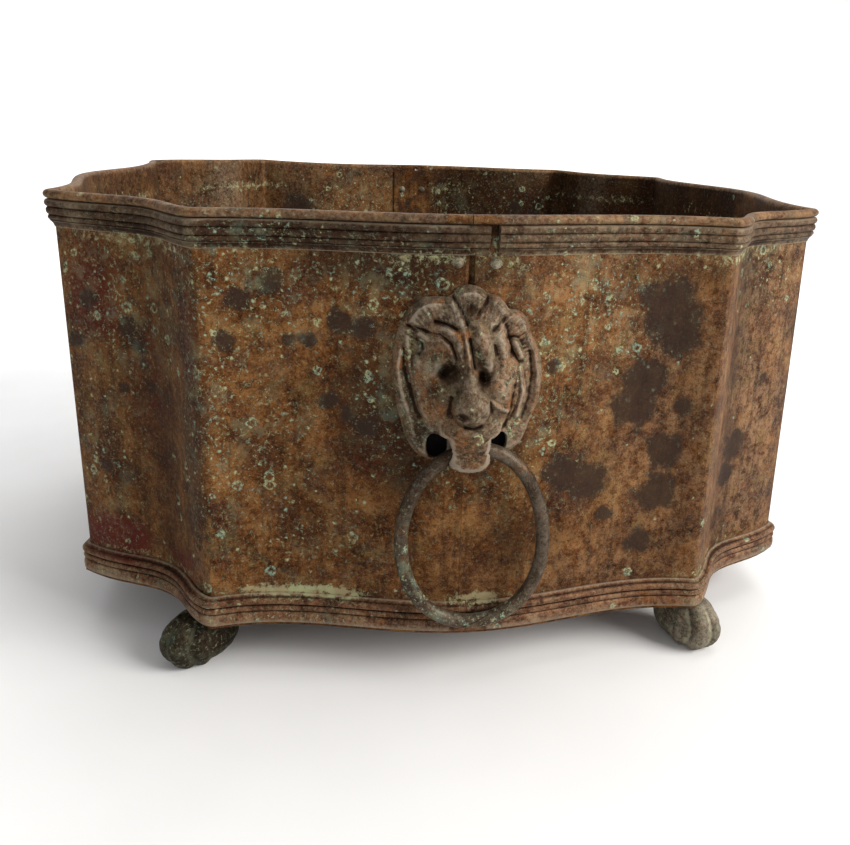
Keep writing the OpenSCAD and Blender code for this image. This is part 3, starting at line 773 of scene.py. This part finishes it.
GROOVES = [  # points, half width and depth
    ([(-11.8, 18.9), (-8.7, 18.5), (-5.7, 17.3)], 0.75, 2.2),
    ([(-20.8, 9), (-20.4, 2), (-18.6, -6), (-16.2, -13)], 1.0, 1.3),
    ([(-13.8, 15.4), (-10.4, 15.2), (-7.2, 12.8), (-5.2, 8.4)], 0.6, 1.2),
    ([(4.6, 26.6), (2.4, 23.4), (0.2, 20.6)], 0.55, 1.2),
    ([(11.4, 22.4), (9.6, 19.6), (6.2, 16.6)], 0.8, 1.6),
    ([(-6.4, 26.4), (-4.4, 23.2), (-2.2, 18.4)], 0.55, 1.2),
    ([(18.4, 15.6), (14.0, 13.8), (10.8, 13.6)], 0.8, 1.2),
    ([(-1.4, 14), (-0.4, 8), (0.6, 3.2)], 0.55, 1.0), ([(14.2, -2), (13.4, -9), (11.6, -16)], 0.9, 1.6),
    ([(19.4, 8.6), (20.2, 1), (19.6, -7), (17.8, -14)], 0.8, 1.0),
    ([(-6.4, -5), (-7.2, -10), (-8.8, -14)], 0.9, 1.3),
    ([(5.6, -6.4), (6.6, -10.4), (9.6, -12.8)], 0.7, 1.1),
    ([(-21.6, 17), (-17.4, 16.8), (-14.6, 15.6)], 0.6, 1.1),
    ([(-2.2, -13.6), (0.2, -14.4), (2.6, -13.6)], 0.7, 1.5),
    ([(6.6, 12), (6.8, 7), (6.0, 2.4)], 0.7, 1.2),
]

PITS = [  # centre, radii and depth
    ((-7.3, 3.0), (3.1, 2.9), 4.6), ((-9.4, 1.4), (2.0, 1.6), 1.6), ((3.4, 1.2), (1.9, 2.6), 4.2),
    ((-3.6, -9.8), (1.5, 1.2), 1.9), ((2.9, -10.2), (1.3, 1.0), 1.3), ((-13.1, -3.6), (2.2, 2.6), 1.6),
    ((-1.4, 23.0), (2.4, 2.2), 1.6), ((-12.6, 8.2), (2.2, 2.4), 1.0), ((12.8, 8.8), (1.8, 2.0), 0.9),
]

MASK_DARK_AND_SHADE = [  # centre, reach and strength of the mask's dark places: dark patina, with painted shade in its hollows (eye sockets, nostrils, under the nose) and down its left side, away from the light
    ((-7.3, 3), (3.6, 3.2), 1), ((3.6, 1.2), (2.2, 3), 1), ((-3.6, -9.8), (2, 1.5), 0.9),
    ((-2, 23), (3.6, 2.8), 0.9), ((-9, 19.6), (5, 2.6), 0.6), ((-11.5, -3), (3, 4.4), 0.6),
    ((-20.2, 2), (2.2, 9), 0.45), ((-15, -19), (5, 5), 0.6), ((-1, -12.8), (4.2, 1.8), 0.6),
    ((8.4, -12), (4, 2), 0.4),
]

MASK_RUST = [  # centre, reach and strength of the orange places
    ((-14, -11), (3.4, 6), 1), ((-16.6, 0.5), (2.4, 5), 0.8), ((-9, -12), (3, 4), 0.8),
    ((16, 17), (3.6, 5), 0.8), ((13, 8), (3.6, 7), 0.9), ((13, -8), (2.6, 6), 1),
    ((-3.5, -18.5), (6, 3.6), 0.9), ((1, -25), (6, 3), 0.6), ((-10.5, 9), (4, 4), 0.8),
    ((-22.6, 4), (1.8, 8), 0.7), ((2.6, 14), (1.4, 6), 0.5), ((21, 10), (2, 8), 0.8),
]

MASK_GREEN = [  # centre, reach and strength of the green places
    ((-19.5, 0), (2.8, 15), 1), ((-15, -17), (4, 6), 1), ((-13, 6), (3, 4), 0.8),
    ((14.5, 6), (4, 9), 1.4), ((15, -16), (5, 5), 1.4), ((9, 1), (3, 3), 0.5),
    ((8, 12), (2, 5), 0.6), ((-12, -3), (2.4, 3), 0.8),
]

MOUTH_CORNERS = [  # centre and radii of the holes beside the jaw, whose floors are painted black as shade
    ((-10.0, -23.2), (3.7, 4.6)), ((10.2, -21.6), (2.6, 3.4)),
]

MUZZLE_WRINKLE = ((-9.1, -14.7), (-3.2, -17.4), (3.3, -17.5), (9.8, -14.0))
WRINKLE_STEP = 1.7
MASK_COLUMNS, MASK_ROWS = 400, 84


def nearest_on(points, line):
    """Distance from each point to an open line, and the line's other values at the nearest place."""
    line = np.array(line, float)
    best = np.full(len(points), np.inf)
    values = np.zeros((len(points), line.shape[1] - 2))
    for start, end in zip(line[:-1], line[1:]):
        way = end - start
        share = np.clip((points - start[:2]) @ way[:2] / (way[:2] @ way[:2]), 0, 1)
        distance = np.linalg.norm(points - start[:2] - share[:, None] * way[:2], axis=1)
        closer = distance < best
        best = np.where(closer, distance, best)
        values = np.where(closer[:, None], start[2:] + share[:, None] * way[2:], values)
    return best, values


def smooth_max(a, b, softness=0.45):
    high, low = np.maximum(a, b), np.minimum(a, b)
    return high + softness * np.log1p(np.exp((low - high) / softness))


def mask_height(places, edge):
    """Height of the mask's face over the wall. edge is 0 in the middle and 1 at the outline."""
    height = np.full(len(places), PLATE_H)
    for centre, radii, foot, crown, square in DOMES:
        q = (np.abs((places - centre) / radii) ** square).sum(1)
        dome = np.where(q < 1, foot + (crown - foot) * np.sqrt(np.clip(1 - q, 0, 1)), foot - 3 * (q - 1))
        height = smooth_max(height, dome)
    for line, half_w, stand in RIDGES:
        distance, top = nearest_on(places, line)
        height = smooth_max(height, top[:, 0] - stand * (distance / half_w) ** 2, 0.3)
    for line, half_w, depth in GROOVES:
        height -= 0.75 * depth * np.exp(-(nearest_on(places, line)[0] / half_w) ** 2)
    for k in range(5):
        line = np.array(MUZZLE_WRINKLE) - [0, WRINKLE_STEP * k]
        inside = np.abs(places[:, 0]) < 9.5 - 0.8 * k
        height -= 0.35 * inside * np.exp(-(nearest_on(places, line)[0] / 0.45) ** 2)
    for centre, radii, depth in PITS:
        height -= depth * np.exp(-(((places - centre) / radii) ** 2).sum(1))
    angle = np.arctan2(places[:, 1] - 4, places[:, 0] + 2)
    hair = smooth_step(0.66, 0.82, edge) * smooth_step(2, 10, places[:, 1])
    height += 0.13 * hair * np.sin(angle * 95 + 2.0 * np.sin(angle * 7))
    height += 0.12 * np.sin(places[:, 0] * 1.7 + 1.1 * np.sin(places[:, 1])) * np.sin(places[:, 1] * 1.9)
    return height


def mask_clearance(places):
    """The most that the mask may stand out beside the jaw, where the ring swings."""
    over_hinge = places[:, 1] + MASK_Z - HINGE[2]
    slope, start = 0.577, 3.2
    limit = np.maximum(2.5, HINGE_OUT + (over_hinge - start) / slope)
    return np.where(np.abs(places[:, 0] + 0.2) > 6.7, limit, 99.0)


def in_mouth_corners(places, inner, outer):
    """1 in the holes beside the jaw and 0 outside them, fading between two sizes of their outline."""
    share = np.zeros(len(places))
    for centre, radii in MOUTH_CORNERS:
        q = (np.abs((places - centre) / radii) ** 2.6).sum(1)
        share = np.maximum(share, 1 - smooth_step(inner, outer, q))
    return share


def mask_grid():
    """Places over the mask's plan, on rays from its middle, row by row from the outline inwards. Also
    each place's share of the way out."""
    outline = np.array(MASK_OUTLINE) - MASK_MIDDLE
    angles = np.arctan2(outline[:, 1], outline[:, 0])
    order = np.argsort(angles)
    turn = np.linspace(-np.pi, np.pi, MASK_COLUMNS, endpoint=False)
    reach = np.interp(turn, angles[order], np.linalg.norm(outline, axis=1)[order], period=2 * np.pi)
    for _ in range(3):
        reach = (np.roll(reach, 1) + 2 * reach + np.roll(reach, -1)) / 4
    rays = np.stack([np.cos(turn), np.sin(turn)], -1) * reach[:, None]
    share = np.linspace(1, 0.012, MASK_ROWS)
    places = MASK_MIDDLE + rays[None] * share[:, None, None]
    return places.reshape(-1, 2), np.repeat(share, MASK_COLUMNS)


def mask_points():
    """The front mask's face, then its flat back against the wall, both in the grid's order."""
    places, edge = mask_grid()
    height = np.minimum(mask_height(places, edge), mask_clearance(places))
    height *= 1 - 0.55 * smooth_step(0.955, 1.0, edge)
    # the holes keep a thin floor, painted black as the shade in them
    hole = in_mouth_corners(places, 0.75, 1.05)
    height = height * (1 - hole) + 0.6 * hole
    x = places[:, 0] + MASK_X
    wall = front_points(x)[:, 1]
    face = np.stack([x, wall - np.maximum(height, 0.5), places[:, 1] + MASK_Z], -1)
    back = face.copy()
    back[:, 1] = wall + 0.12
    return np.concatenate([face, back])


def mask_faces():
    around, count = MASK_COLUMNS, MASK_COLUMNS * MASK_ROWS
    last = count - around
    faces = []
    for row in range(0, last, around):
        for k in range(around):
            a, b = row + k, row + (k + 1) % around
            faces.append((a, b, b + around, a + around))
            c, d = a + count, b + count
            faces.append((d, c, c + around, d + around))
    faces.append(tuple(last + k for k in range(around)))
    faces.append(tuple(count + last + k for k in reversed(range(around))))
    for k in range(around):
        after = (k + 1) % around
        faces.append((after, k, count + k, count + after))
    return faces


def build_mask(name, side, material):
    sign = 1 if side == "front" else -1
    piece = make_piece(name, mask_points() * [sign, sign, 1], mask_faces(), material,
                       replaced=(f"lion_mask_{side}",), sharp=75)
    cut_with(piece, tunnel(sign))
    places = points_of(piece)
    local = places * [sign, sign, 1]
    u = local[:, 0] - MASK_X
    on_face = np.stack([u, local[:, 2] - MASK_Z], -1)
    out = front_points(local[:, 0])[:, 1] - local[:, 1]
    rim = nearest_on(on_face, MASK_OUTLINE + MASK_OUTLINE[:1])[0]
    worn = relief(piece, 24, 0.75)
    paint(piece, places, np.where(rim < 1.6, np.minimum(worn, 0.25), worn),
          # painted shade: black in the holes beside the jaw, down their sides
          void=in_mouth_corners(on_face, 0.7, 1.0) * (1 - smooth_step(1.0, 2.2, out)),
          # painted light: the right half of the mask paler, towards the light
          faded=1.5 * smooth_step(3, 12, u),
          # dark patina, with painted shade in the mask's hollows and down its left side
          soot=field(on_face, MASK_DARK_AND_SHADE),
          rust=field(on_face, MASK_RUST),
          verdigris=0.12 + 1.1 * field(on_face, MASK_GREEN))


def tunnel(sign):
    """The round way behind the jaw that the ring passes through."""
    radius, low, high = 3.9, -14.1, 11.0
    count = 48
    angles = np.linspace(0, 2 * np.pi, count, endpoint=False)
    circle = np.stack([np.cos(angles), np.sin(angles)], -1) * radius
    points = []
    for u in (low, high):
        for out, up in circle:
            points.append((sign * (u + MASK_X), sign * (HINGE[1] + out), HINGE[2] + up))
    mesh = bpy.data.meshes.new("tunnel")
    mesh.from_pydata((np.array(points) * MM).tolist(), [], tube_faces(2, count))
    return outward_normals(mesh)


def outward_normals(mesh):
    work = bmesh.new()
    work.from_mesh(mesh)
    bmesh.ops.recalc_face_normals(work, faces=work.faces)
    work.to_mesh(mesh)
    work.free()
    return mesh


def points_of(piece):
    points = np.empty(len(piece.data.vertices) * 3, np.float32)
    piece.data.vertices.foreach_get("co", points)
    return points.reshape(-1, 3).astype(float) / MM


def applied(piece):
    """Replaces a piece's mesh with what its modifiers make of it."""
    bpy.context.view_layer.update()
    graph = bpy.context.evaluated_depsgraph_get()
    mesh = bpy.data.meshes.new_from_object(piece.evaluated_get(graph), depsgraph=graph)
    piece.modifiers.clear()
    piece.data = mesh


def cut_with(piece, mesh):
    """Takes a closed mesh's space out of a piece."""
    cutter = placed("cutter", mesh)
    change = piece.modifiers.new("cut", "BOOLEAN")
    change.operation = "DIFFERENCE"
    change.solver = "EXACT"
    change.object = cutter
    applied(piece)
    bpy.data.objects.remove(cutter)


# ---- Ring ------------------------------------------------------------------------------------

RING_X = 0.75
RING_HALF_W = 24.3
RING_WIRE = 2.35
RING_STEPS = 240


def ring_path():
    """Middle of the wire, from the top down the right side and round: a bent oval, widest below
    its middle."""
    half_h = (HINGE[2] - RING_FOOT - RING_WIRE - 0.6) / 2
    a = np.linspace(0, 2 * np.pi, RING_STEPS, endpoint=False)
    x = RING_X + RING_HALF_W * np.sin(a) * (1 - 0.045 * np.cos(a))
    x += 0.35 * np.sin(3 * a + 0.8)
    z = HINGE[2] - half_h * (1 - np.cos(a)) + 0.25 * np.sin(2 * a + 0.5) - 0.25 * math.sin(0.5)
    y = HINGE[1] - 0.25 * np.sin(2 * a) ** 2
    return np.stack([x, y, z], -1)


def build_ring(name, side, material):
    around = 32
    path = ring_path()
    tangent = np.roll(path, -1, 0) - np.roll(path, 1, 0)
    tangent /= np.linalg.norm(tangent, axis=1)[:, None]
    depth = np.array([0.0, 1.0, 0.0])
    inward = np.cross(tangent, depth)
    angles = np.linspace(0, 2 * np.pi, around, endpoint=False)
    swell = 1 + 0.05 * bump_at(path, (RING_X, HINGE[1], RING_FOOT + RING_WIRE), (9, 9, 9))
    wire = RING_WIRE * (1 + 0.02 * np.sin(path[:, 0] / 3.1) * np.sin(path[:, 2] / 4.3)) * swell
    circle = np.cos(angles)[None, :, None] * inward[:, None] + np.sin(angles)[None, :, None] * depth
    points = (path[:, None] + circle * wire[:, None, None]).reshape(-1, 3)
    sign = 1 if side == "front" else -1
    piece = make_piece(name, points * [sign, sign, 1], tube_faces(len(path), around, closed=True),
                       material, body=f"ring_{side}", replaced=(f"ring_handle_{side}",),
                       sharp=40)
    cut_with(piece, scarf(sign))
    places = points_of(piece)
    local = places * [sign, sign, 1]
    none = np.zeros(len(local))
    green = [((-20, HINGE[1], 40), (14, 12, 22)), ((12, HINGE[1], 26), (16, 12, 8))]
    paint(piece, places, relief(piece, 8, 0.5), stain=none - 1, crust=none,
          verdigris=np.clip(1.1 * sum(bump_at(local, *area) for area in green), 0, 1),
          # painted shade: the wire darker where it goes into the hole beside the jaw
          soot=0.5 * bump_at(local, (-10, HINGE[1], 88), (8, 9, 5)))


def scarf(sign):
    """A thin slanting slot across the wire at the ring's lowest point, where its two ends lap."""
    half_long, half_deep, half_thin, slope = 7.0, 4.0, 0.13, math.radians(24)
    corners = [(a, b, c) for a in (-half_long, half_long) for b in (-half_deep, half_deep)
               for c in (-half_thin, half_thin)]
    low = ring_path()[RING_STEPS // 2]
    points = []
    for along, deep, thin in corners:
        x = low[0] + along * math.cos(slope) - thin * math.sin(slope)
        z = low[2] + along * math.sin(slope) + thin * math.cos(slope)
        points.append((sign * x * MM, sign * (low[1] + deep) * MM, z * MM))
    faces = [(0, 1, 3, 2), (4, 6, 7, 5), (0, 4, 5, 1), (2, 3, 7, 6), (0, 2, 6, 4), (1, 5, 7, 3)]
    mesh = bpy.data.meshes.new("scarf")
    mesh.from_pydata(points, [], faces)
    return outward_normals(mesh)


# ---- Paw feet --------------------------------------------------------------------------------

PAW_BODY = [  # centre and radii of the paw's masses, in the foot's own axes: out, across and up
    ((2.5, 0, 16.0), (11.0, 9.0, 7.0)), ((9.5, 0, 8.8), (14.2, 10.0, 9.6)),
]
TOES = [(-66, 0.86), (-23, 1.0), (21, 1.0), (64, 0.88)]  # direction and size of each toe
TOE_MIDDLE = (10.0, 8.6)  # out and up, of the middle that the toes bend round
TOE_REACH = (12.4, 7.0, 7.4)  # out, across and up
TOE_RADIUS = 3.9
FOOT_SCREW = (86.0, 114.0)
FOOT_TURN = 44.0  # degrees from the end-to-end axis
LOOSE_FOOT, LOOSE_FOOT_TURN = "paw_foot_front_right", 70.0  # has turned on its screw, towards the front


def ellipsoid(work, centre, radii):
    matrix = Matrix.Translation(centre) @ Matrix.Diagonal((*radii, 1))
    bmesh.ops.create_uvsphere(work, u_segments=20, v_segments=12, radius=1, matrix=matrix)


def paw_mesh():
    """A paw in millimetres, in the foot's own axes: long toes that bend over its front to the ground."""
    work = bmesh.new()
    for centre, radii in PAW_BODY:
        ellipsoid(work, centre, radii)
    for angle, size in TOES:
        c, s = math.cos(math.radians(angle)), math.sin(math.radians(angle))
        for bend in range(84, -56, -10):
            level, rise = math.cos(math.radians(bend)), math.sin(math.radians(bend))
            joint = 1 - 0.10 * math.exp(-((bend - 14) / 6) ** 2)
            place = (TOE_MIDDLE[0] + TOE_REACH[0] * level * c, TOE_REACH[1] * level * s,
                     TOE_MIDDLE[1] + TOE_REACH[2] * rise)
            ellipsoid(work, place, (TOE_RADIUS * size * joint,) * 3)
    mesh = bpy.data.meshes.new("paw")
    work.to_mesh(mesh)
    work.free()
    piece = placed("paw", mesh)
    change = piece.modifiers.new("join", "REMESH")
    change.mode = "VOXEL"
    change.voxel_size = 0.4
    change = piece.modifiers.new("even", "SMOOTH")
    change.iterations = 6
    applied(piece)
    mesh = piece.data
    bpy.data.objects.remove(piece)
    return mesh


def build_foot(name, sx, sy, mesh, material):
    count = len(mesh.vertices)
    local = np.empty(count * 3, np.float32)
    mesh.vertices.foreach_get("co", local)
    local = local.reshape(-1, 3).astype(float)
    local[:, 2] = np.clip(local[:, 2], 0.0, BODY_FOOT)
    turn = math.radians(LOOSE_FOOT_TURN if name == LOOSE_FOOT else FOOT_TURN)
    heading = math.atan2(sy * math.sin(turn), sx * math.cos(turn))
    c, s = math.cos(heading), math.sin(heading)
    points = np.stack([sx * FOOT_SCREW[0] + c * local[:, 0] - s * local[:, 1],
                       sy * FOOT_SCREW[1] + s * local[:, 0] + c * local[:, 1], local[:, 2]], -1)
    faces = [tuple(f.vertices) for f in mesh.polygons]
    piece = make_piece(f"{name}_casting", points, faces, material, replaced=(name,),
                       sharp=80)
    none = np.zeros(count)
    paint(piece, points, relief(piece, 16, 0.35), soot=none, crust=none,
          verdigris=none + (0.35 if sx < 0 else 0.25))


def build_feet():
    mesh = paw_mesh()
    for end, sy in (("front", -1), ("back", 1)):
        for side, sx in (("left", -1), ("right", 1)):
            # painted shade: the left feet, away from the light, take the darker copy of the foot patina
            build_foot(f"paw_foot_{end}_{side}", sx, sy, mesh, FOOT_SHADED if sx < 0 else FOOT)


# ---- Build -----------------------------------------------------------------------------------

def dress(material, *nodes):
    for node in nodes:
        mesh = frame["nodes"][node].data
        mesh.materials.clear()
        mesh.materials.append(material)


build_walls()
build_bands()
for end in ("front", "back"):
    build_mask(f"lion_face_{end}", end, CASTING)
    build_ring(f"ring_wire_{end}", end, RING)
build_feet()
dress(WALL, "seam_strap_front", "seam_strap_back", "bottom_plate")
dress(FIXING, "seam_rivets_front", "seam_rivets_back", "mask_screws_front", "mask_screws_back",
      "ring_pin_front", "ring_pin_back", "foot_screws", "foot_washers")


# ---- Floor, light and camera -----------------------------------------------------------------

def build_floor():
    """A pale floor that curves up into a backdrop."""
    far, radius, half_w, height = 1.4, 0.7, 4.0, 3.4
    profile = [(-4.0, 0.0), (far, 0.0)]
    profile += [(far + radius * math.sin(a), radius * (1 - math.cos(a)))
                for a in np.linspace(0, math.pi / 2, 17)[1:]]
    profile.append((far + radius, height))
    points = [(x, y, z) for y, z in profile for x in (-half_w, half_w)]
    faces = [(2 * k, 2 * k + 1, 2 * k + 3, 2 * k + 2) for k in range(len(profile) - 1)]
    mesh = bpy.data.meshes.new("floor")
    mesh.from_pydata(points, [], faces)
    for polygon in mesh.polygons:
        polygon.use_smooth = True
    floor = placed("floor", mesh)
    n = Nodes("floor_paper")
    grain = n.noise(60, 2)
    tone = n.ramp(grain, [(0.3, (0.86, 0.86, 0.86)), (0.7, (0.89, 0.89, 0.89))])
    mesh.materials.append(n.finish(tone, 0.9, 0.0, grain, 0.0))


def aim(thing, place, target):
    thing.location = place
    thing.rotation_euler = (Vector(target) - Vector(place)).to_track_quat("-Z", "Y").to_euler()


def area_light(name, place, size, power, colour=(1, 1, 1), target=(0, 0, 0.08)):
    data = bpy.data.lights.new(name, "AREA")
    data.shape = "RECTANGLE"
    data.size, data.size_y = size
    data.energy = power
    data.color = colour
    light = placed(name, data)
    aim(light, place, target)


def build_world():
    """Soft white light from everywhere."""
    world = bpy.data.worlds.new("studio")
    world.use_nodes = True
    world.node_tree.nodes["Background"].inputs["Color"].default_value = (1, 1, 1, 1)
    world.node_tree.nodes["Background"].inputs["Strength"].default_value = 0.36
    bpy.context.scene.world = world


def build_camera():
    pitch, yaw, roll = (math.radians(a) for a in (16.57, 8.13, 2.06))
    forward = Vector((math.sin(yaw) * math.cos(pitch), math.cos(yaw) * math.cos(pitch), -math.sin(pitch)))
    right = Vector((math.cos(yaw), -math.sin(yaw), 0))
    up = right.cross(forward)
    axis_x = math.cos(roll) * right + math.sin(roll) * up
    axis_y = math.cos(roll) * up - math.sin(roll) * right
    data = bpy.data.cameras.new("camera")
    data.sensor_width = 36.0
    data.lens = 36.72
    data.shift_x, data.shift_y = -0.0435, -0.0535
    data.clip_start = 0.01
    camera = placed("camera", data)
    matrix = Matrix((axis_x, axis_y, -forward)).transposed().to_4x4()
    matrix.translation = (-0.0419, -0.4059, 0.1911)
    camera.matrix_world = matrix
    bpy.context.scene.camera = camera


build_floor()
build_world()
area_light("key", (1.25, -0.75, 0.85), (0.9, 0.9), 32, (1.0, 0.97, 0.93))
area_light("top", (0.3, 0.2, 1.5), (1.2, 1.2), 9)
area_light("fill", (-1.2, -0.9, 0.5), (1.0, 0.8), 2.5, (0.95, 0.98, 1.0))
area_light("backdrop", (0, 0.9, 1.6), (1.6, 0.6), 30, target=(0, 2.1, 0.5))
build_camera()
bpy.context.scene.view_settings.view_transform = "Standard"
